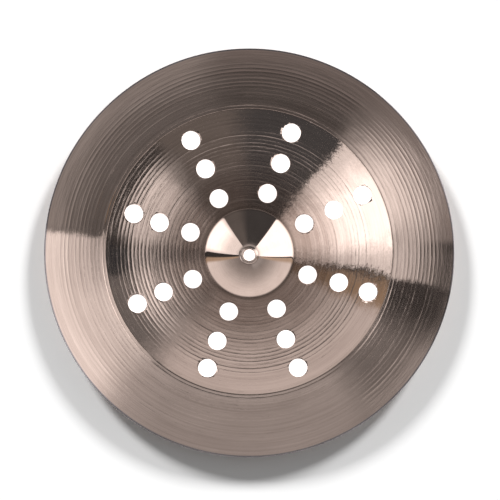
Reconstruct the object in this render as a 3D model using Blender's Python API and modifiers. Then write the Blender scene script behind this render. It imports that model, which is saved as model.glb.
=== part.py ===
"""A china cymbal with eight arms of sound holes: one cast, hammered and lathed plate of bell bronze.

The plate is turned round Z, with its bell up: a flat land round the bore, a domed bell, a bow that
falls outward ever more steeply, a skirt that falls ever less, a tight bend, and a flange that rises
to the rim. Its middle surface is a chain of arcs, each given by its width and the slopes
that it runs between, and the two faces lie half the plate's thickness either side of it.

Metres, +Z up. The origin is the centre of the bore on the underside of the land, where the plate
sits on the felt of its stand.
"""

import bmesh
import bpy
import math

# The plate

OVERALL_DIAMETER = 0.4572
PLATE_THICKNESS = 0.0011

BORE_DIAMETER = 0.0127
BORE_CHAMFER = 0.0003

LAND_DIAMETER = 0.018
LAND_EDGE_WIDTH = 0.0015

BELL_DIAMETER = 0.101
BELL_TOP_SLOPE = math.radians(21)
BELL_FLANK_SLOPE = math.radians(41)
BELL_FILLET_WIDTH = 0.003

BOW_INNER_SLOPE = math.radians(8.5)
BOW_OUTER_SLOPE = math.radians(10)

SKIRT_WIDTH = 0.0354
SKIRT_OUTER_SLOPE = math.radians(5)

BEND_WIDTH = 0.001
FLANGE_WIDTH = 0.0672
FLANGE_INNER_SLOPE = math.radians(15)
FLANGE_RIM_SLOPE = math.radians(21)

# The sound holes, three to an arm, in rings that were laid out by hand

HOLE_DIAMETER = 0.0205
INNER_RING_GAP = 0.0088
OUTER_RING_FROM_BOW = 0.015
MIDDLE_RING_SHARE = 0.512

# Each arm: the bearing of its innermost hole, how far it leans by its outermost, both in degrees
# anticlockwise from +X, and how far its outermost hole lies outside that ring.
ARMS = (
    (73.0, -2.4, 0.0015),
    (28.2, -1.4, 0.0016),
    (-20.6, 2.0, 0.0002),
    (-64.0, -3.2, 0.0011),
    (-109.2, -0.6, -0.0014),
    (-155.0, -0.2, -0.0021),
    (160.6, 0.9, -0.0041),
    (119.1, -1.6, 0.0010),
)

# How finely round shapes are divided

PLATE_SIDES = 72
HOLE_SIDES = 20
RIM_STEPS = 4

BRONZE_COLOUR = (0.60, 0.44, 0.34, 1.0)
BRONZE_ROUGHNESS = 0.3

HALF_THICKNESS = PLATE_THICKNESS / 2
BORE_RADIUS = BORE_DIAMETER / 2
LAND_RADIUS = LAND_DIAMETER / 2
BELL_RADIUS = BELL_DIAMETER / 2
RIM_CENTRE_RADIUS = OVERALL_DIAMETER / 2 - HALF_THICKNESS
BEND_OUTER_RADIUS = OVERALL_DIAMETER / 2 - FLANGE_WIDTH
BEND_INNER_RADIUS = BEND_OUTER_RADIUS - BEND_WIDTH
BOW_OUTER_RADIUS = BEND_INNER_RADIUS - SKIRT_WIDTH
INNER_RING_RADIUS = BELL_RADIUS + INNER_RING_GAP + HOLE_DIAMETER / 2
OUTER_RING_RADIUS = BOW_OUTER_RADIUS + OUTER_RING_FROM_BOW
MIDDLE_RING_RADIUS = INNER_RING_RADIUS + MIDDLE_RING_SHARE * (OUTER_RING_RADIUS - INNER_RING_RADIUS)


def clear_scene():
    for obj in list(bpy.data.objects):
        bpy.data.objects.remove(obj, do_unlink=True)


def new_collection(name):
    collection = bpy.data.collections.new(name)
    bpy.context.scene.collection.children.link(collection)
    return collection


def mesh_object(name, bm, collection):
    """A new object that holds this bmesh."""
    mesh = bpy.data.meshes.new(name)
    bm.to_mesh(mesh)
    bm.free()
    obj = bpy.data.objects.new(name, mesh)
    collection.objects.link(obj)
    return obj


def bronze():
    material = bpy.data.materials.new("lathed_bronze")
    material.use_nodes = True
    shader = material.node_tree.nodes["Principled BSDF"]
    shader.inputs["Base Color"].default_value = BRONZE_COLOUR
    shader.inputs["Roughness"].default_value = BRONZE_ROUGHNESS
    shader.inputs["Metallic"].default_value = 1.0
    return material


def add_arc(stations, end_radius, end_slope, steps):
    """Carries the middle surface on to end_radius along an arc that ends at this slope.

    A station is a radius, a height and a slope, and a slope is positive where the plate falls
    outward. Along an arc the slope's sine grows evenly with the radius.
    """
    radius, height, slope = stations[-1]
    for step in range(1, steps + 1):
        share = step / steps
        width = share * (end_radius - radius)
        here = math.asin(math.sin(slope) + share * (math.sin(end_slope) - math.sin(slope)))
        stations.append((radius + width, height - width * math.tan((slope + here) / 2), here))


def middle_surface():
    """The stations of the middle surface, from the land's edge to the rim."""
    stations = [(LAND_RADIUS, HALF_THICKNESS, 0.0)]
    add_arc(stations, LAND_RADIUS + LAND_EDGE_WIDTH, BELL_TOP_SLOPE, 2)
    add_arc(stations, BELL_RADIUS - BELL_FILLET_WIDTH, BELL_FLANK_SLOPE, 6)
    add_arc(stations, BELL_RADIUS, BOW_INNER_SLOPE, 3)
    add_arc(stations, BOW_OUTER_RADIUS, BOW_OUTER_SLOPE, 3)
    add_arc(stations, BEND_INNER_RADIUS, SKIRT_OUTER_SLOPE, 3)
    add_arc(stations, BEND_OUTER_RADIUS, -FLANGE_INNER_SLOPE, 1)
    add_arc(stations, RIM_CENTRE_RADIUS, -FLANGE_RIM_SLOPE, 3)
    return stations


def off_middle(station, angle):
    """The point half a thickness from a station, at this angle from its upward normal."""
    radius, height, slope = station
    return (
        radius + HALF_THICKNESS * math.sin(slope + angle),
        height + HALF_THICKNESS * math.cos(slope + angle),
    )


def plate_section():
    """The closed section: out along the top, round the rim, and back along the underside."""
    stations = middle_surface()
    top = [off_middle(station, 0.0) for station in stations]
    underside = [off_middle(station, math.pi) for station in stations]
    rim = [
        off_middle(stations[-1], math.pi * step / RIM_STEPS)
        for step in range(1, RIM_STEPS)
    ]
    bore_top = [
        (BORE_RADIUS, PLATE_THICKNESS - BORE_CHAMFER),
        (BORE_RADIUS + BORE_CHAMFER, PLATE_THICKNESS),
    ]
    bore_foot = [
        (BORE_RADIUS + BORE_CHAMFER, 0.0),
        (BORE_RADIUS, BORE_CHAMFER),
    ]
    return bore_top + top + rim + underside[::-1] + bore_foot


def turned(name, section, sides, collection):
    """A closed section in the XZ plane, turned once round Z."""
    bm = bmesh.new()
    corners = [bm.verts.new((radius, 0.0, height)) for radius, height in section]
    for first, second in zip(corners, corners[1:] + corners[:1]):
        bm.edges.new((first, second))
    obj = mesh_object(name, bm, collection)
    screw = obj.modifiers.new("turn", "SCREW")
    screw.axis = "Z"
    screw.angle = math.tau
    screw.steps = sides
    screw.render_steps = sides
    screw.use_merge_vertices = True
    screw.merge_threshold = 0.00001
    screw.use_smooth_shade = True
    return obj


def hole_places():
    """The centre of each sound hole, as a radius and a bearing in radians."""
    for bearing, lean, reach in ARMS:
        yield INNER_RING_RADIUS, math.radians(bearing)
        yield MIDDLE_RING_RADIUS, math.radians(bearing + lean)
        yield OUTER_RING_RADIUS + reach, math.radians(bearing + lean)


def hole_cutters(depth, collection):
    """An upright cylinder for each sound hole, as high as the whole plate and centred on its height."""
    low, high = depth
    for number, (radius, bearing) in enumerate(hole_places(), start=1):
        bm = bmesh.new()
        bmesh.ops.create_cone(
            bm,
            cap_ends=True,
            segments=HOLE_SIDES,
            radius1=HOLE_DIAMETER / 2,
            radius2=HOLE_DIAMETER / 2,
            depth=high - low,
        )
        cutter = mesh_object(f"sound_hole_cutter_{number:02d}", bm, collection)
        cutter.location = (
            radius * math.cos(bearing),
            radius * math.sin(bearing),
            (low + high) / 2,
        )
        cutter.rotation_euler.z = bearing
        cutter.hide_render = True
        cutter.display_type = "WIRE"


def cymbal_plate(collection, cutters):
    section = plate_section()
    heights = [height for _, height in section]
    hole_cutters((min(heights) - PLATE_THICKNESS, max(heights) + PLATE_THICKNESS), cutters)
    plate = turned("cymbal_plate", section, PLATE_SIDES, collection)
    punch = plate.modifiers.new("sound_holes", "BOOLEAN")
    punch.operation = "DIFFERENCE"
    punch.operand_type = "COLLECTION"
    punch.collection = cutters
    punch.solver = "EXACT"
    plate.data.materials.append(bronze())
    return plate


def main():
    clear_scene()
    parts = new_collection("china_cymbal")
    cutters = new_collection("cutters")
    cymbal_plate(parts, cutters)


main()
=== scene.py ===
# %% [markdown]
# # A china cymbal
#
# A cymbal is one plate of bronze: cast, rolled, pressed to its shape, hammered, turned on a lathe
# and drilled. Everything that shows is its surface, so this lesson models a single piece with care
# and spends the rest on its metal and on the studio that the metal reflects. The packed plate comes
# first, because it says where everything is.

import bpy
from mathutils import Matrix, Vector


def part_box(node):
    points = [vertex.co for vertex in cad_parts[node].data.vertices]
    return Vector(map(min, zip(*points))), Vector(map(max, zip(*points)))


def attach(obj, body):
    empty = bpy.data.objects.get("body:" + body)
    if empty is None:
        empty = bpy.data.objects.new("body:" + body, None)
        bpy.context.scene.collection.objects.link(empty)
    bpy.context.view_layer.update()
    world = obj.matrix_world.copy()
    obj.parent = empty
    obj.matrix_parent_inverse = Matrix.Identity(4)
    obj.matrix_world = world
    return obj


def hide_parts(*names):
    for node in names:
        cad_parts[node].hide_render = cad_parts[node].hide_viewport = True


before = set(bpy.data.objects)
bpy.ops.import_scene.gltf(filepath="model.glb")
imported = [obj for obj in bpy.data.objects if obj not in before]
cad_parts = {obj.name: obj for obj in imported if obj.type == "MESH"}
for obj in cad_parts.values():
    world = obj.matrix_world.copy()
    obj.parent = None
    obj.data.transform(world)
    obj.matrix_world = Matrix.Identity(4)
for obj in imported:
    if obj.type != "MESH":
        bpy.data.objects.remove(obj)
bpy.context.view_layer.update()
plate_low, plate_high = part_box("cymbal_plate")
print("packed plate", [round(1000 * side, 2) for side in plate_high - plate_low], "mm")

# %% What the lesson uses
import math
import random
from collections import namedtuple

import bmesh
import bpy
from mathutils import Euler, Vector, noise

scene = bpy.context.scene
scene.view_settings.view_transform = "Standard"

# %% [markdown]
# ## The section of the plate
#
# A turned piece is known by its section. The plate's middle surface is a chain of arcs: the land
# round the bore, the domed bell, the bow that falls outward, the skirt that falls ever less, a tight
# bend, and the flange that rises to the rim. Each arc is given by where it ends and by the slope
# there. One function then answers for any radius, so that rings can be as close as needed.

# %% The plate's sizes
OVERALL_RADIUS = 0.2286
PLATE_THICKNESS = 0.0011
BORE_RADIUS = 0.00635
BORE_CHAMFER = 0.0003
LAND_RADIUS = 0.009
LAND_EDGE_RADIUS = 0.0105
BELL_RADIUS = 0.0505
BELL_FILLET_WIDTH = 0.003
SKIRT_WIDTH = 0.0354
BEND_WIDTH = 0.001
FLANGE_WIDTH = 0.0672

HALF_THICKNESS = PLATE_THICKNESS / 2
FACES_START = BORE_RADIUS + BORE_CHAMFER
RIM_CENTRE_RADIUS = OVERALL_RADIUS - HALF_THICKNESS
BEND_OUTER_RADIUS = OVERALL_RADIUS - FLANGE_WIDTH
BEND_INNER_RADIUS = BEND_OUTER_RADIUS - BEND_WIDTH
BOW_OUTER_RADIUS = BEND_INNER_RADIUS - SKIRT_WIDTH
print("the bow ends", round(1000 * BOW_OUTER_RADIUS, 1), "mm from the axis")

# %% The middle surface
# Where each arc ends, and its slope there in degrees, positive where the plate falls outward.
ARC_ENDS = (
    (LAND_EDGE_RADIUS, 21),
    (BELL_RADIUS - BELL_FILLET_WIDTH, 41),
    (BELL_RADIUS, 8.5),
    (BOW_OUTER_RADIUS, 10),
    (BEND_INNER_RADIUS, 5),
    (BEND_OUTER_RADIUS, -15),
    (RIM_CENTRE_RADIUS, -21),
)


def middle(radius):
    """The middle surface's height and slope at this radius.

    Along an arc the slope's sine grows evenly with the radius.
    """
    start, height, slope = LAND_RADIUS, HALF_THICKNESS, 0.0
    if radius <= start:
        return height, slope
    for end, degrees in ARC_ENDS:
        end_slope = math.radians(degrees)
        reach = min(radius, end) - start
        share = reach / (end - start)
        here = math.asin(math.sin(slope) + share * (math.sin(end_slope) - math.sin(slope)))
        height -= reach * math.tan((slope + here) / 2)
        start, slope = end, here
        if radius <= end:
            break
    return height, slope


def face_point(radius, offset):
    """The point that lies this far from the middle surface, along its upward normal."""
    height, slope = middle(radius)
    return radius + offset * math.sin(slope), height + offset * math.cos(slope)


flange_rise = middle(RIM_CENTRE_RADIUS)[0] - middle(BEND_OUTER_RADIUS)[0]
print("the flange rises", round(1000 * flange_rise, 1), "mm from the bend to the rim")

# %% [markdown]
# ## The lathe's ridges
#
# After hammering, the maker turns the plate and cuts its skin away with a round-nosed tool, which
# leaves a shallow groove at each pass and a nearly flat top between two passes. The tool moves on
# almost evenly, and no two grooves are quite as deep. They are cut into the section itself: the tops
# lie on the plate's face and the grooves a little under it. The bell and the outer edge stay smooth.

# %% The shape of a ridge
RIDGES_FROM = 0.0515
RIDGES_FULL_FROM = 0.056
RIDGES_FULL_TO = 0.207
RIDGES_TO = 0.219
RIDGE_PITCH = 0.0042
RIDGE_DEPTH = 0.000045
RIDGE_DEPTH_ON_SKIRT = 0.00005
RIDGE_UNEVENNESS = 0.65
RIDGE_WANDER = 0.12

# The points of one ridge, as shares of the pitch and of the groove's depth: a round groove, a
# shoulder, and a top that is nearly flat.
RIDGE_POINTS = ((0.0, 0.45), (0.13, 1.0), (0.26, 0.45), (0.45, 0.0), (0.81, 0.0))


def ridge_depth(radius):
    """How deep the lathe cut at this radius: a little more on the skirt, and less towards both ends."""
    inward = (radius - RIDGES_FROM) / (RIDGES_FULL_FROM - RIDGES_FROM)
    outward = (RIDGES_TO - radius) / (RIDGES_TO - RIDGES_FULL_TO)
    on_skirt = BOW_OUTER_RADIUS <= radius < BEND_OUTER_RADIUS
    full = RIDGE_DEPTH_ON_SKIRT if on_skirt else RIDGE_DEPTH
    return full * max(0.0, min(1.0, inward, outward))


print(round((RIDGES_TO - RIDGES_FROM) / RIDGE_PITCH), "grooves,", round(1000 * RIDGE_DEPTH, 3), "mm deep")

# %% The rings of the top face
RIM_FLAT_TO = RIM_CENTRE_RADIUS - 0.0004
SMOOTH_RIM_STEP = 0.004

# Each smooth stretch of the top face from the bore outward: its end, and the step between its rings.
TOP_STRETCHES = (
    (LAND_RADIUS, 0.0025),
    (LAND_EDGE_RADIUS, 0.0005),
    (BELL_RADIUS - BELL_FILLET_WIDTH, 0.0014),
    (RIDGES_FROM, 0.0008),
)


def even_rings(start, end, step):
    """Radii from start towards end, about a step apart, without the end itself."""
    count = max(1, round((end - start) / step))
    return [start + (end - start) * number / count for number in range(count)]


def rings_through(stretches):
    """Radii from the bore's edge through these stretches, one after the other."""
    radii, start = [], FACES_START
    for end, step in stretches:
        radii += even_rings(start, end, step)
        start = end
    return radii


def top_rings():
    """Each ring of the top face, as its radius and how far it lies under the face."""
    lathe_hand = random.Random(18)
    rings = [(radius, 0.0) for radius in rings_through(TOP_STRETCHES)]
    for crest in even_rings(RIDGES_FROM, RIDGES_TO, RIDGE_PITCH):
        depth = ridge_depth(crest + RIDGE_PITCH / 2)
        depth *= lathe_hand.uniform(1 - RIDGE_UNEVENNESS, 1 + RIDGE_UNEVENNESS)
        crest += RIDGE_PITCH * lathe_hand.uniform(0, RIDGE_WANDER)
        rings += [(crest + along * RIDGE_PITCH, down * depth) for along, down in RIDGE_POINTS]
    outside = even_rings(RIDGES_TO + RIDGE_PITCH * RIDGE_WANDER, RIM_FLAT_TO, SMOOTH_RIM_STEP)
    return rings + [(radius, 0.0) for radius in [*outside, RIM_FLAT_TO]]


top = top_rings()
print(len(top), "rings on the top face")

# %% [markdown]
# ## Turning the plate
#
# The whole section is closed first: out along the top, round the rim, back along the underside and
# up through the bore. A Screw modifier would turn it too, but a spin in bmesh leaves plain mesh at
# once, which the hammer and the drill can then work on. A full spin ends where it began, so its last
# ring is merged with its first.

# %% The closed section
RIM_STEPS = 6
UNDERSIDE_STRETCHES = (
    (LAND_EDGE_RADIUS, 0.0028),
    (BELL_RADIUS, 0.0025),
    (RIM_CENTRE_RADIUS, 0.0042),
)


def rim_points():
    """Half a circle round the plate's edge, from its top to its underside."""
    height, slope = middle(RIM_CENTRE_RADIUS)
    for step in range(RIM_STEPS + 1):
        turn = slope + math.pi * step / RIM_STEPS
        across, up = HALF_THICKNESS * math.sin(turn), HALF_THICKNESS * math.cos(turn)
        yield RIM_CENTRE_RADIUS + across, height + up


def plate_section():
    """The closed section as radius and height pairs."""
    top_face = [face_point(radius, HALF_THICKNESS - cut) for radius, cut in top]
    inward = reversed(rings_through(UNDERSIDE_STRETCHES))
    underside = [face_point(radius, -HALF_THICKNESS) for radius in inward]
    bore = [(BORE_RADIUS, BORE_CHAMFER), (BORE_RADIUS, PLATE_THICKNESS - BORE_CHAMFER)]
    return top_face + list(rim_points()) + underside + bore


section = plate_section()
print(len(section), "points round the section")

# %% The turned blank
PLATE_SIDES = 256
MERGE_DISTANCE = 0.000001


def spin_round(bm, line, edges, sides):
    """Turns a line of points once round Z, and closes it on itself."""
    bmesh.ops.spin(
        bm,
        geom=line + edges,
        cent=(0, 0, 0),
        axis=(0, 0, 1),
        angle=math.tau,
        steps=sides,
        use_merge=True,
    )
    bmesh.ops.remove_doubles(bm, verts=bm.verts, dist=MERGE_DISTANCE)
    bmesh.ops.recalc_face_normals(bm, faces=bm.faces)


blank = bmesh.new()
corners = [blank.verts.new((radius, 0.0, height)) for radius, height in section]
outline = [blank.edges.new(pair) for pair in zip(corners, corners[1:] + corners[:1])]
spin_round(blank, corners, outline, PLATE_SIDES)
print("blank", len(blank.faces), "faces, open edges", sum(edge.is_boundary for edge in blank.edges))

# %% [markdown]
# ## The hammer
#
# A hammered plate is never a perfect turned shape. Blows from underneath leave wide, very shallow
# dents in rough rings, and the whole plate is a little out of true. It is too little to see in the
# outline, but polished metal shows it at once: every straight reflection gets a wavering edge. The
# dents move both faces together, so the plate keeps its thickness.

# %% Dents in rough rings
DENT_ROWS = (0.060, 0.076, 0.092, 0.108, 0.124, 0.140, 0.156, 0.172, 0.190, 0.208)
DENT_SPACING = 0.021
DENT_WIDTH = 0.0085
WIDTH_RANGE = (0.8, 1.3)
ASTRAY_ALONG = 0.35
ASTRAY_ACROSS = 0.005

hammer_hand = random.Random(7)
dents = []
for row in DENT_ROWS:
    blows = round(math.tau * row / DENT_SPACING)
    for blow in range(blows):
        bearing = math.tau * (blow + hammer_hand.uniform(-ASTRAY_ALONG, ASTRAY_ALONG)) / blows
        distance = row + hammer_hand.uniform(-ASTRAY_ACROSS, ASTRAY_ACROSS)
        place = (distance * math.cos(bearing), distance * math.sin(bearing))
        width = DENT_WIDTH * hammer_hand.uniform(*WIDTH_RANGE)
        strength = hammer_hand.uniform(-1.0, 1.0)
        dents.append((place, width, strength))
print(len(dents), "hammer dents")

# %% How far each point moves
DENT_DEPTH = 0.00005
DENT_REACH_IN_CELLS = 2
WARP_HEIGHT = 0.00016
WARP_SIZE = 0.075

# How far from the land and from the rim the plate takes to come fully out of true.
TRUE_NEAR_LAND = 0.02
TRUE_NEAR_RIM = 0.01


def cell_of(x, y):
    """The cell of a square grid that this place is in."""
    return math.floor(x / DENT_SPACING), math.floor(y / DENT_SPACING)


def dents_by_cell():
    """The dents that reach each cell, so that a point asks only its own cell."""
    cells = {}
    steps = range(-DENT_REACH_IN_CELLS, DENT_REACH_IN_CELLS + 1)
    for dent in dents:
        column, line = cell_of(*dent[0])
        for right in steps:
            for up in steps:
                cells.setdefault((column + right, line + up), []).append(dent)
    return cells


def shift_at(x, y, cells):
    """How far the warp and the dents lift the plate here. The land and the rim stay true."""
    radius = math.hypot(x, y)
    shift = WARP_HEIGHT * noise.noise(Vector((x, y, 0.0)) / WARP_SIZE)
    for (dent_x, dent_y), width, strength in cells.get(cell_of(x, y), ()):
        away = ((x - dent_x) ** 2 + (y - dent_y) ** 2) / width**2
        shift += DENT_DEPTH * strength * math.exp(-away)
    off_land = min(1.0, max(0.0, (radius - LAND_EDGE_RADIUS) / TRUE_NEAR_LAND))
    off_rim = min(1.0, max(0.0, (OVERALL_RADIUS - radius) / TRUE_NEAR_RIM))
    return shift * off_land * off_rim


cells = dents_by_cell()
print(len(cells), "cells hold the dents")

# %% The hammered blank
furthest = 0.0
for vert in blank.verts:
    lift = shift_at(vert.co.x, vert.co.y, cells)
    vert.co.z += lift
    furthest = max(furthest, abs(lift))
print("hammered, at most", round(1000 * furthest, 3), "mm up or down")

# %% [markdown]
# ## The sound holes
#
# Eight arms of three holes were laid out by hand, so each arm keeps its own bearing and lean. A
# drilled hole in thin bronze has its burr taken off, which leaves a small soft edge on both faces.
# Each cutter is turned from its own section: a straight wall that flares at the two faces. The
# flares are then laid on the plate's faces, which slope, so the soft edge is even all round.

# %% Where the holes are
HOLE_RADIUS = 0.01025
INNER_RING_RADIUS = 0.06955
OUTER_RING_RADIUS = 0.140
MIDDLE_RING_SHARE = 0.512
MIDDLE_RING_RADIUS = INNER_RING_RADIUS + MIDDLE_RING_SHARE * (OUTER_RING_RADIUS - INNER_RING_RADIUS)

# Each arm: the bearing of its innermost hole, its lean by its outermost, and that hole's extra reach.
ARMS = (
    (73.0, -2.4, 0.0015),
    (28.2, -1.4, 0.0016),
    (-20.6, 2.0, 0.0002),
    (-64.0, -3.2, 0.0011),
    (-109.2, -0.6, -0.0014),
    (-155.0, -0.2, -0.0021),
    (160.6, 0.9, -0.0041),
    (119.1, -1.6, 0.0010),
)


def hole_places():
    """The centre of each sound hole."""
    for bearing, lean, reach in ARMS:
        for distance, turn in (
            (INNER_RING_RADIUS, bearing),
            (MIDDLE_RING_RADIUS, bearing + lean),
            (OUTER_RING_RADIUS + reach, bearing + lean),
        ):
            angle = math.radians(turn)
            yield distance * math.cos(angle), distance * math.sin(angle)


print(len(list(hole_places())), "sound holes")

# %% The section of a cutter
HOLE_EDGE = 0.00022
FLARE_RISE = 0.0004
CUTTER_REACH = 0.004

# Half of a cutter's section, from its wall to its end, as its distance from the hole's own axis and
# its height over the plate's face.
FLARE = (
    (HOLE_RADIUS, -HOLE_EDGE),
    (HOLE_RADIUS + 0.3 * HOLE_EDGE, -0.35 * HOLE_EDGE),
    (HOLE_RADIUS + HOLE_EDGE, 0.0),
    (HOLE_RADIUS + HOLE_EDGE + 2 * FLARE_RISE, FLARE_RISE),
    (0.0, CUTTER_REACH),
)

# Every row of a cutter from its lower end: how wide it is, which face it belongs to, its height there.
CUTTER_ROWS = [(wide, -1, high) for wide, high in reversed(FLARE)]
CUTTER_ROWS += [(wide, 1, high) for wide, high in FLARE]
print(len(CUTTER_ROWS), "rows on a cutter")

# %% The cutters
HOLE_SIDES = 72


def turned_cutter():
    """A cutter whose points still stand at the number of their row, as a mesh."""
    bm = bmesh.new()
    line = [bm.verts.new((wide, 0.0, row)) for row, (wide, _, _) in enumerate(CUTTER_ROWS)]
    edges = [bm.edges.new(pair) for pair in zip(line, line[1:])]
    spin_round(bm, line, edges, HOLE_SIDES)
    mesh = bpy.data.meshes.new("cutter")
    bm.to_mesh(mesh)
    bm.free()
    return mesh


def all_cutters():
    """One mesh with a cutter at each hole, its rows laid on the plate's two faces."""
    pattern = turned_cutter()
    bm = bmesh.new()
    for centre_x, centre_y in hole_places():
        bm.from_mesh(pattern)
        bm.verts.ensure_lookup_table()
        for vert in bm.verts[-len(pattern.vertices):]:
            _, side, high = CUTTER_ROWS[round(vert.co.z)]
            x, y = centre_x + vert.co.x, centre_y + vert.co.y
            height, slope = middle(math.hypot(x, y))
            vert.co = (x, y, height + side * (HALF_THICKNESS / math.cos(slope) + high))
    mesh = bpy.data.meshes.new("sound_hole_cutters")
    bm.to_mesh(mesh)
    bm.free()
    return mesh


cutters = bpy.data.objects.new("sound_hole_cutters", all_cutters())
scene.collection.objects.link(cutters)
print("the cutters have", len(cutters.data.polygons), "faces")

# %% Drilling
plate_mesh = bpy.data.meshes.new("lathed_plate")
blank.to_mesh(plate_mesh)
blank.free()
plate = bpy.data.objects.new("lathed_plate", plate_mesh)
scene.collection.objects.link(plate)

drill = plate.modifiers.new("drill", "BOOLEAN")
drill.operation = "DIFFERENCE"
drill.object = cutters
drill.solver = "MANIFOLD"
drilled = bpy.data.meshes.new_from_object(plate.evaluated_get(bpy.context.evaluated_depsgraph_get()))
plate.modifiers.clear()
plate.data = drilled
bpy.data.objects.remove(cutters)
print("drilled plate", len(drilled.polygons), "faces")

# %% Smooth faces, sharp edges
SHARP_FROM = math.radians(30)

drilled.shade_smooth()
drilled.set_sharp_from_angle(angle=SHARP_FROM)
drilled.calc_loop_triangles()
print("drilled plate", len(drilled.loop_triangles), "triangles")

# %% [markdown]
# ## Writing materials as sums
#
# Shader maths reads best as a formula. The small class below wraps a node's output and lets it be
# added and multiplied like a number, and each sign adds a Math node. Any other node is made by one
# method, which takes its type, its settings and what goes into its sockets.

# %% Wires
class Wire:
    """A node's output that can be used in a formula."""

    def __init__(self, bench, socket):
        self.bench = bench
        self.socket = socket

    def __add__(self, other):
        return self.bench.maths("ADD", self, other)

    def __sub__(self, other):
        return self.bench.maths("SUBTRACT", self, other)

    def __rsub__(self, other):
        return self.bench.maths("SUBTRACT", other, self)

    def __mul__(self, other):
        return self.bench.maths("MULTIPLY", self, other)

    def __truediv__(self, other):
        return self.bench.maths("DIVIDE", self, other)

    __radd__ = __add__
    __rmul__ = __mul__


print(Wire.__doc__)

# %% A bench to make nodes on
class Bench:
    """Makes the nodes of one node tree."""

    def __init__(self, tree):
        self.tree = tree
        tree.nodes.clear()

    def node(self, kind, settings=None, inputs=None, output=0):
        """A node of this type. Its settings come first, then its sockets, each a number or a wire."""
        made = self.tree.nodes.new(kind)
        for name, value in (settings or {}).items():
            if name == "stops":
                self.set_stops(made.color_ramp.elements, value)
            else:
                setattr(made, name, value)
        for name, value in (inputs or {}).items():
            socket = next(s for s in made.inputs if name in (s.identifier, s.name) and s.enabled)
            if isinstance(value, Wire):
                self.tree.links.new(value.socket, socket)
            else:
                socket.default_value = value
        return Wire(self, made.outputs[output]) if made.outputs else made

    @staticmethod
    def set_stops(stops, wanted):
        """Gives a colour ramp these stops, each a place and a colour."""
        while len(stops) < len(wanted):
            stops.new(0.5)
        for stop, (place, colour) in zip(stops, wanted):
            stop.position = place
            stop.color = (*colour, 1.0)

    def outputs(self, kind, inputs=None):
        """All outputs of a node of this type, by name."""
        made = self.node(kind, inputs=inputs).socket.node
        return {socket.name: Wire(self, socket) for socket in made.outputs}

    def maths(self, operation, first, second=None):
        """A Math node on one or two values."""
        values = {"Value": first} if second is None else {"Value": first, "Value_001": second}
        return self.node("ShaderNodeMath", {"operation": operation}, values)

    def between(self, value, low, high):
        """The value, kept between two limits."""
        return self.maths("MINIMUM", self.maths("MAXIMUM", value, low), high)

    def step(self, value, low, high):
        """0 below low, 1 above high, and an even slope between, eased at both ends."""
        return self.node(
            "ShaderNodeMapRange",
            {"interpolation_type": "SMOOTHSTEP"},
            {"Value": value, "From Min": low, "From Max": high},
        )

    def band(self, value, rise, fall):
        """1 between a rise and a fall, which are each given by where they start and end."""
        return self.step(value, *rise) * (1 - self.step(value, *fall))

    def blend(self, share, first, second):
        """Two colours mixed by a share."""
        return self.node(
            "ShaderNodeMix",
            {"data_type": "RGBA"},
            {"Factor_Float": share, "A_Color": first, "B_Color": second},
            output=2,
        )

    def parts(self, vector):
        """The three numbers of a vector."""
        return list(self.outputs("ShaderNodeSeparateXYZ", {"Vector": vector}).values())

    def joined(self, x, y, z):
        """A vector from three numbers."""
        return self.node("ShaderNodeCombineXYZ", inputs={"X": x, "Y": y, "Z": z})


print(Bench.__doc__)

# %% [markdown]
# ## Lathed bronze
#
# Bell bronze is copper with about a fifth of tin, a warm metal that turns pink-grey under a clear
# lacquer. The lathe's fine grooves run round the plate and scatter light across themselves, so each
# highlight is drawn out along the radius and stays narrow along the groove. That is what the
# shader's anisotropy does, and with no tangent given it runs round the object's own axis, as the
# lathe did. Finer grooves than the mesh holds are a bump that depends on the radius, and where the
# tool chattered the surface also wavers along the groove. Colour and roughness change a little from
# groove to groove and slowly round each of them. The metal is duller beside the bell, and painted
# shade darkens the corner at its foot and the crease of the bend.

# %% Patterns that run round the plate
# Each pattern: how far apart its changes are along the radius, how often it changes round the
# plate, its detail and its seed.
BROAD_RINGS = (0.0026, 0.7, 2.0, 1.0)
FINE_RINGS = (0.0008, 1.3, 3.0, 5.0)
PATCHES = (0.016, 2.4, 4.0, 9.0)
CHATTER = (0.0034, 9.0, 3.0, 13.0)
SMALLEST_RADIUS = 0.001


def ring_patterns(bench, x, y, radius, patterns):
    """Each of these patterns, as noise round the plate's axis."""
    safe_radius = bench.maths("MAXIMUM", radius, SMALLEST_RADIUS)
    across, along = x / safe_radius, y / safe_radius
    for pitch, turn, detail, seed in patterns:
        yield bench.node(
            "ShaderNodeTexNoise",
            {"noise_dimensions": "4D", "normalize": True},
            {
                "Vector": bench.joined(across * turn, along * turn, radius / pitch),
                "W": seed,
                "Scale": 1.0,
                "Detail": detail,
                "Roughness": 0.6,
            },
        )


print("the finest rings are", 1000 * FINE_RINGS[0], "mm apart")

# %% Zones of the plate
# Zones that reach to the rim: the radii where each starts and where it is full.
BEYOND_BELL = (BELL_RADIUS - 0.0035, BELL_RADIUS)
FLANGE = (BEND_INNER_RADIUS - 0.004, BEND_OUTER_RADIUS + 0.004)
RIM = (OVERALL_RADIUS - 0.0022, OVERALL_RADIUS - 0.0012)

# Zones that end again: the same, and then the radii where each begins to fade and where it is gone.
NEAR_BELL = BEYOND_BELL, (BELL_RADIUS + 0.010, BOW_OUTER_RADIUS + 0.004)
BELL_FOOT = (BELL_RADIUS - 0.0015, BELL_RADIUS), (BELL_RADIUS, BELL_RADIUS + 0.0045)
BEND = (
    (BEND_INNER_RADIUS - 0.0006, BEND_INNER_RADIUS),
    (BEND_OUTER_RADIUS, BEND_OUTER_RADIUS + 0.0006),
)
print("dull beside the bell out to", round(1000 * NEAR_BELL[1][1], 1), "mm")

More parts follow.
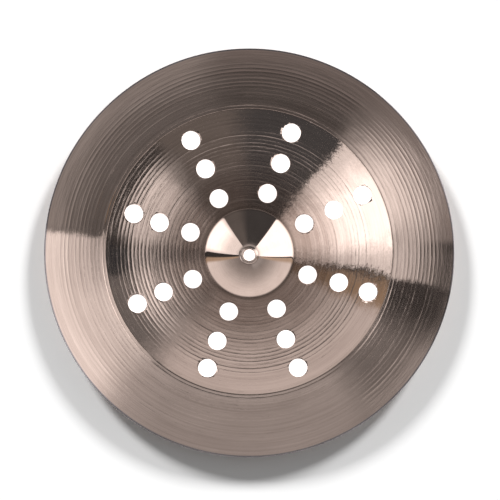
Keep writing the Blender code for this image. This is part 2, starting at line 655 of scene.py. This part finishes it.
# %% The metal's colours
BRONZE = (0.760, 0.600, 0.530, 1.0)
TARNISH = (0.310, 0.225, 0.190, 1.0)
# The colour of the painted shade in the corner at the bell's foot and in the crease of the bend.
PAINTED_SHADE = (0.140, 0.100, 0.080, 1.0)
# The colour of a painted dark reflection on the rim's rounded edge.
PAINTED_RIM_REFLECTION = (0.20, 0.21, 0.25, 1.0)

# How dull the metal is everywhere, how much more near the bell and on the flange, and how much that
# varies with each pattern.
DULL = 0.10
DULLER_NEAR_BELL = 0.85
DULLER_ON_FLANGE = 0.15
VARIES_WITH_BROAD_RINGS = 0.75
VARIES_WITH_FINE_RINGS = 0.30
VARIES_WITH_PATCHES = 0.55

# How strong the painted shade is in the corner at the bell's foot and in the crease of the bend.
PAINTED_SHADE_AT_BELL_FOOT = 0.6
PAINTED_SHADE_IN_BEND = 0.45
# How strong the painted dark reflection on the rim's edge is.
PAINTED_REFLECTION_ON_RIM = 0.7


def metal_colour(bench, radius, broad_rings, fine_rings, patches):
    """Bronze that is duller in some zones and from ring to ring, with painted shade in its corners and a
    painted dark reflection on its rim.
    """
    tone = VARIES_WITH_BROAD_RINGS * (broad_rings - 0.5) * bench.step(radius, *BEYOND_BELL)
    tone = tone + VARIES_WITH_FINE_RINGS * (fine_rings - 0.5) + VARIES_WITH_PATCHES * (patches - 0.5)
    duller = DULLER_NEAR_BELL * bench.band(radius, *NEAR_BELL)
    duller = duller + DULLER_ON_FLANGE * bench.step(radius, *FLANGE)
    colour = bench.blend(bench.between(DULL + tone + duller, 0.0, 1.0), BRONZE, TARNISH)
    # Painted shade darkens the corner at the bell's foot and the crease of the bend.
    painted_shade = PAINTED_SHADE_AT_BELL_FOOT * bench.band(radius, *BELL_FOOT) + PAINTED_SHADE_IN_BEND * bench.band(radius, *BEND)
    colour = bench.blend(painted_shade, colour, PAINTED_SHADE)
    # A painted dark reflection on the rim's rounded edge.
    return bench.blend(PAINTED_REFLECTION_ON_RIM * bench.step(radius, *RIM), colour, PAINTED_RIM_REFLECTION)


print("dull metal keeps", round(TARNISH[1] / BRONZE[1], 2), "of the clean metal's light")

# %% The bronze
ROUGHNESS = 0.062
ROUGHER_WITH_FINE_RINGS = 0.05
ROUGHER_NEAR_BELL = 0.08
ROUGHER_AT_BELL_FOOT = 0.03
FINE_RINGS_HEIGHT = 0.000025
FINE_RINGS_ON_BELL = 0.6
CHATTER_HEIGHT = 0.00008


def lathed_bronze():
    material = bpy.data.materials.new("lathed_bronze")
    material.use_nodes = True
    bench = Bench(material.node_tree)
    x, y, _ = bench.parts(bench.outputs("ShaderNodeTexCoord")["Object"])
    radius = bench.maths("SQRT", x * x + y * y)
    patterns = ring_patterns(bench, x, y, radius, (BROAD_RINGS, FINE_RINGS, PATCHES, CHATTER))
    broad_rings, fine_rings, patches, chatter = patterns

    rougher = ROUGHER_WITH_FINE_RINGS * (fine_rings - 0.5)
    rougher = rougher + ROUGHER_NEAR_BELL * bench.band(radius, *NEAR_BELL)
    rougher = rougher + ROUGHER_AT_BELL_FOOT * bench.band(radius, *BELL_FOOT)

    beyond_bell = bench.step(radius, *BEYOND_BELL)
    ring_strength = FINE_RINGS_ON_BELL + (1 - FINE_RINGS_ON_BELL) * beyond_bell
    height = FINE_RINGS_HEIGHT * fine_rings * ring_strength
    height = height + CHATTER_HEIGHT * chatter * beyond_bell
    grooves = bench.node("ShaderNodeBump", {}, {"Strength": 1.0, "Distance": 1.0, "Height": height})

    surface = bench.node(
        "ShaderNodeBsdfPrincipled",
        {"distribution": "MULTI_GGX"},
        {
            "Base Color": metal_colour(bench, radius, broad_rings, fine_rings, patches),
            "Metallic": 1.0,
            "Roughness": ROUGHNESS + rougher,
            "Anisotropic": 1.0,
            "Anisotropic Rotation": 0.25,
            "Normal": grooves,
        },
    )
    bench.node("ShaderNodeOutputMaterial", inputs={"Surface": surface})
    print("the bronze has", len(bench.tree.nodes), "nodes")
    return material


# %% The plate stands for the packed one
plate.data.materials.clear()
plate.data.materials.append(lathed_bronze())
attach(plate, "root")
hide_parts("cymbal_plate")

# %% [markdown]
# ## The camera
#
# The lens looks at the plate from a little above its axis and from five metres away, which keeps the
# circle nearly a circle. It is drawn as wide as the plate and its margin are in the picture.

# %% Where the lens is
LENS_ABOVE_AXIS = math.radians(5.0)
LENS_DISTANCE = 5.0
SENSOR_WIDTH = 36.0
FRAME_WIDTH_AT_RIM = 0.5570
AIM = Vector((0.0008, 0.0040, middle(RIM_CENTRE_RADIUS)[0]))

lens = bpy.data.cameras.new("lens")
lens.sensor_width = SENSOR_WIDTH
lens.lens = SENSOR_WIDTH * LENS_DISTANCE / FRAME_WIDTH_AT_RIM
lens.clip_end = 100
camera = bpy.data.objects.new("lens", lens)
camera.rotation_euler = Euler((-LENS_ABOVE_AXIS, 0, 0))
to_lens = Vector((0, math.sin(LENS_ABOVE_AXIS), math.cos(LENS_ABOVE_AXIS)))
camera.location = AIM + LENS_DISTANCE * to_lens
scene.collection.objects.link(camera)
scene.camera = camera
print("lens", round(lens.lens), "mm,", LENS_DISTANCE, "m away")

# %% [markdown]
# ## The studio
#
# Metal shows what is round it, so its studio is as much a part of its look as its colour. A product
# photographer places soft cards round the lens: here a bright one on the right, another on the left,
# and a pale table in front, with a dark gap over the lens. They are far away and very large, so the
# world can hold them. Each card covers some bearings round the direction that the flat plate mirrors
# to the lens, and some distance off it. The bow mirrors what is near that middle, the flange what is
# further out on the other side, and the bell what is furthest out, so the cards come in three belts.
# They are painted over one another in order, like sheets of paper.

# %% What a card is
# Where a card starts round the middle, anticlockwise from the right, and over how many degrees it
# fades in there; where it ends, and how it fades out; where it starts and ends off the middle, and
# how it fades there, all in degrees; and its light.
Card = namedtuple("Card", "start start_fade end end_fade near near_fade far far_fade light")


def grey(light, warmth=0.0):
    """A grey of this brightness, a little warmer or cooler."""
    return (light * (1 + warmth), light, light * (1 - warmth), 1.0)


print("a warm grey", [round(part, 2) for part in grey(0.5, 0.2)])

# %% The belt that the bow mirrors
BOW_BELT = {
    "dark_gap": Card(50, 8, 98, 8, -9, 3, 25, 3, grey(0.075, -0.06)),
    "grey_beside_gap": Card(94, 12, 130, 14, -9, 3, 25, 3, grey(0.15, 0.04)),
    "middle_left": Card(129, 4, 182, 2, -9, 1, 6.5, 2, grey(0.80)),
    "middle_table": Card(182, 2, 350, 2, -9, 1, 6.5, 2, grey(0.32)),
    "left_card": Card(136, 24, 173, 14, 17, 2.5, 26, 2, grey(0.95)),
    "left_table": Card(188, 6, 230, 24, 5, 5, 26, 5, grey(0.17)),
    "left_foot": Card(181, 3, 190, 6, 10, 4, 26, 5, grey(0.045, -0.1)),
    "right_card": Card(-10, 2, 48.5, 4, -9, 3, 25, 3, grey(0.95)),
    "right_card_heart": Card(1, 14, 36, 22, -9, 3, 25, 3, grey(1.95)),
    "right_card_foot": Card(-13.5, 2, -9.5, 2, 3, 3, 26, 3, grey(0.05)),
    "right_table_edge": Card(-25, 10, -13, 5, 6, 3, 24, 3, grey(0.26, 0.30)),
}
print(len(BOW_BELT), "cards for the bow")

# %% The belt that the flange mirrors
FLANGE_BELT = {
    "top_belt": Card(40, 24, 134, 22, 26, 4, 44, 3, grey(0.42)),
    "top_belt_inside": Card(56, 22, 130, 22, 26, 4, 29.5, 3, grey(0.54)),
    "low_right_belt": Card(282, 16, 352, 6, 27, 4, 48, 4, grey(0.155)),
    "low_right_belt_outside": Card(282, 16, 352, 6, 36, 9, 48, 4, grey(0.40)),
    "left_belt": Card(130, 20, 170, 3, 26, 3, 44, 3, grey(0.20)),
    "left_outer_belt": Card(126, 12, 158, 14, 37, 3, 44, 3, grey(0.40)),
    "left_belt_foot": Card(156, 16, 171, 3, 26, 3, 40, 6, grey(0.05)),
    "right_belt": Card(-8, 2, 52, 22, 27, 4, 46, 3, grey(0.62)),
    "right_belt_heart": Card(11, 16, 38, 22, 27, 4, 46, 3, grey(0.95)),
    "right_belt_outside": Card(-8, 2, 42, 14, 34, 12, 46, 3, grey(1.20)),
    "low_left_belt": Card(171, 2, 228, 20, 22, 6, 33, 14, grey(0.95)),
    "low_left_belt_heart": Card(192, 14, 216, 16, 22, 6, 33, 14, grey(1.35)),
}
print(len(FLANGE_BELT), "cards for the flange")

# %% The belt that the bell mirrors
BELL_BELT = {
    "bell_gap": Card(46, 2, 130, 2, 43, 3, 110, 3, grey(0.065, -0.03)),
    "bell_gap_side": Card(100, 18, 130, 2, 43, 3, 110, 3, grey(0.13, 0.03)),
    "bell_right_card": Card(-8.5, 1, 49, 2, 43, 3, 110, 3, grey(2.0)),
    "bell_left_card": Card(128, 2, 182, 1, 43, 3, 110, 3, grey(1.15)),
    "bell_left_heart": Card(132, 8, 178, 8, 62, 18, 110, 3, grey(2.0)),
    "bell_left_tint": Card(186, 3, 196, 5, 43, 3, 110, 3, grey(0.42, 0.25)),
    "bell_left_foot": Card(181.5, 1, 189.5, 3, 43, 3, 110, 3, grey(0.05)),
    "bell_right_tint": Card(-17, 6, -10, 3, 43, 3, 110, 3, grey(0.50, 0.20)),
    "bell_right_foot": Card(-10.5, 1, -8.5, 1, 43, 3, 110, 3, grey(0.08)),
}
CARDS = [*BOW_BELT.values(), *FLANGE_BELT.values(), *BELL_BELT.values()]
print(len(CARDS), "cards in all")

# %% The table
# The table's light, by how far off the middle it is, as a share of a right angle.
TABLE_STOPS = (
    (0.0, (0.60, 0.58, 0.57)),
    (0.12, (0.66, 0.64, 0.63)),
    (0.235, (0.66, 0.64, 0.63)),
    (0.28, (0.10, 0.10, 0.10)),
    (0.33, (0.08, 0.08, 0.08)),
    (0.38, (0.13, 0.13, 0.13)),
    (0.43, (0.24, 0.23, 0.23)),
    (0.50, (0.285, 0.275, 0.27)),
    (0.60, (0.42, 0.41, 0.40)),
    (0.70, (0.66, 0.65, 0.64)),
    (0.80, (0.90, 0.88, 0.87)),
    (1.0, (1.0, 0.98, 0.97)),
)
TABLE_EDGE = (-0.067, -0.043)
DARK_STUDIO = grey(0.04)
print(len(TABLE_STOPS), "shades along the table")

# %% The studio as a world
# The cards are for the metal to mirror, and spill only this share of their light on the floor.
LIGHT_ON_FLOOR = 0.4


def spread(middle_of_fade, width):
    """Where a fade of this width starts and ends."""
    return middle_of_fade - width / 2, middle_of_fade + width / 2


def card_mask(bench, card, bearing, off_middle):
    """1 where this card is, and 0 elsewhere."""
    centre, half = (card.start + card.end) / 2, (card.end - card.start) / 2
    around = bench.node(
        "ShaderNodeMath",
        {"operation": "WRAP"},
        {"Value": bearing - centre, "Value_001": 180.0, "Value_002": -180.0},
    )
    in_bearing = bench.band(around, spread(-half, card.start_fade), spread(half, card.end_fade))
    near, far = spread(card.near, card.near_fade), spread(card.far, card.far_fade)
    return in_bearing * bench.band(off_middle, near, far)


def studio_world():
    world = bpy.data.worlds.new("studio")
    world.use_nodes = True
    bench = Bench(world.node_tree)
    turned = bench.node(
        "ShaderNodeVectorRotate",
        {"rotation_type": "X_AXIS"},
        {"Vector": bench.outputs("ShaderNodeTexCoord")["Generated"], "Angle": -LENS_ABOVE_AXIS},
    )
    x, y, z = bench.parts(turned)
    bearing = bench.maths("ARCTAN2", y, x) * math.degrees(1)
    off_middle = bench.maths("ARCCOSINE", z) * math.degrees(1)

    table = bench.node("ShaderNodeValToRGB", {"stops": TABLE_STOPS}, {"Fac": off_middle / 90})
    mirrored = bench.blend(1 - bench.step(y, *TABLE_EDGE), DARK_STUDIO, table)
    for card in CARDS:
        mirrored = bench.blend(card_mask(bench, card, bearing, off_middle), mirrored, card.light)

    rays = bench.outputs("ShaderNodeLightPath")
    seen = bench.blend(rays["Is Camera Ray"], mirrored, grey(1.0))
    strength = LIGHT_ON_FLOOR + (1 - LIGHT_ON_FLOOR) * (rays["Is Camera Ray"] + rays["Is Glossy Ray"])
    background = bench.node("ShaderNodeBackground", inputs={"Color": seen, "Strength": strength})
    bench.node("ShaderNodeOutputWorld", inputs={"Surface": background})
    print("the studio has", len(bench.tree.nodes), "nodes")
    return world


scene.world = studio_world()

# %% [markdown]
# ## The floor and its shadow
#
# The plate lies on a plain pale floor, on the ring of its bend. Two soft lamps from behind draw its
# shadow on the floor below it, at the lower left and right. Under the plate the floor would be dark,
# and so would the holes, so there it also gives a light of its own, which only the lens and
# reflections see: the holes then show white, as they do in front of a white backdrop.

# %% The floor
FLOOR_RADIUS = 15.0
FLOOR_SIDES = 96
FLOOR_GAP = 0.0002

floor_height = min(vert.co.z for vert in drilled.vertices) - FLOOR_GAP
sweep = bmesh.new()
bmesh.ops.create_circle(sweep, cap_ends=True, segments=FLOOR_SIDES, radius=FLOOR_RADIUS)
bmesh.ops.translate(sweep, verts=sweep.verts, vec=(0, 0, floor_height))
floor_mesh = bpy.data.meshes.new("floor")
sweep.to_mesh(floor_mesh)
sweep.free()
floor = bpy.data.objects.new("floor", floor_mesh)
scene.collection.objects.link(floor)
print("floor", round(1000 * floor_height, 2), "mm from the land's underside")

# %% Its paint, and its glow under the plate
FLOOR_COLOUR = (0.88, 0.88, 0.88, 1.0)
GLOW_UNDER_PLATE = 1.0
GLOW_FADES = (0.154, 0.166)


def pale_floor():
    material = bpy.data.materials.new("pale_floor")
    material.use_nodes = True
    bench = Bench(material.node_tree)
    x, y, _ = bench.parts(bench.outputs("ShaderNodeTexCoord")["Object"])
    radius = bench.maths("SQRT", x * x + y * y)
    glow = GLOW_UNDER_PLATE * (1 - bench.step(radius, *GLOW_FADES))
    rays = bench.outputs("ShaderNodeLightPath")
    seen = rays["Is Camera Ray"] + rays["Is Glossy Ray"] + rays["Is Transmission Ray"]
    strength = glow * bench.maths("MINIMUM", seen, 1.0)
    paint = bench.node("ShaderNodeBsdfDiffuse", inputs={"Color": FLOOR_COLOUR})
    light = bench.node("ShaderNodeEmission", inputs={"Color": grey(1.0), "Strength": strength})
    both = bench.node("ShaderNodeAddShader", inputs={"Shader": paint, "Shader_001": light})
    bench.node("ShaderNodeOutputMaterial", inputs={"Surface": both})
    return material


floor.data.materials.append(pale_floor())
print("the floor glows out to", 1000 * GLOW_FADES[1], "mm")

# %% The lamps behind
LAMP_HEIGHT = math.radians(28)
LAMP_BEARINGS = (58, 122)
LAMP_STRENGTH = 3.1
LAMP_SOFTNESS = math.radians(12)

for number, bearing in enumerate(LAMP_BEARINGS, start=1):
    lamp = bpy.data.lights.new(f"back_lamp_{number}", "SUN")
    lamp.energy = LAMP_STRENGTH
    lamp.angle = LAMP_SOFTNESS
    holder = bpy.data.objects.new(f"back_lamp_{number}", lamp)
    level = Vector((math.cos(math.radians(bearing)), math.sin(math.radians(bearing)), 0))
    to_lamp = level * math.cos(LAMP_HEIGHT) + Vector((0, 0, math.sin(LAMP_HEIGHT)))
    holder.rotation_euler = to_lamp.to_track_quat("Z", "Y").to_euler()
    holder.visible_glossy = False
    scene.collection.objects.link(holder)
print(len(LAMP_BEARINGS), "lamps")
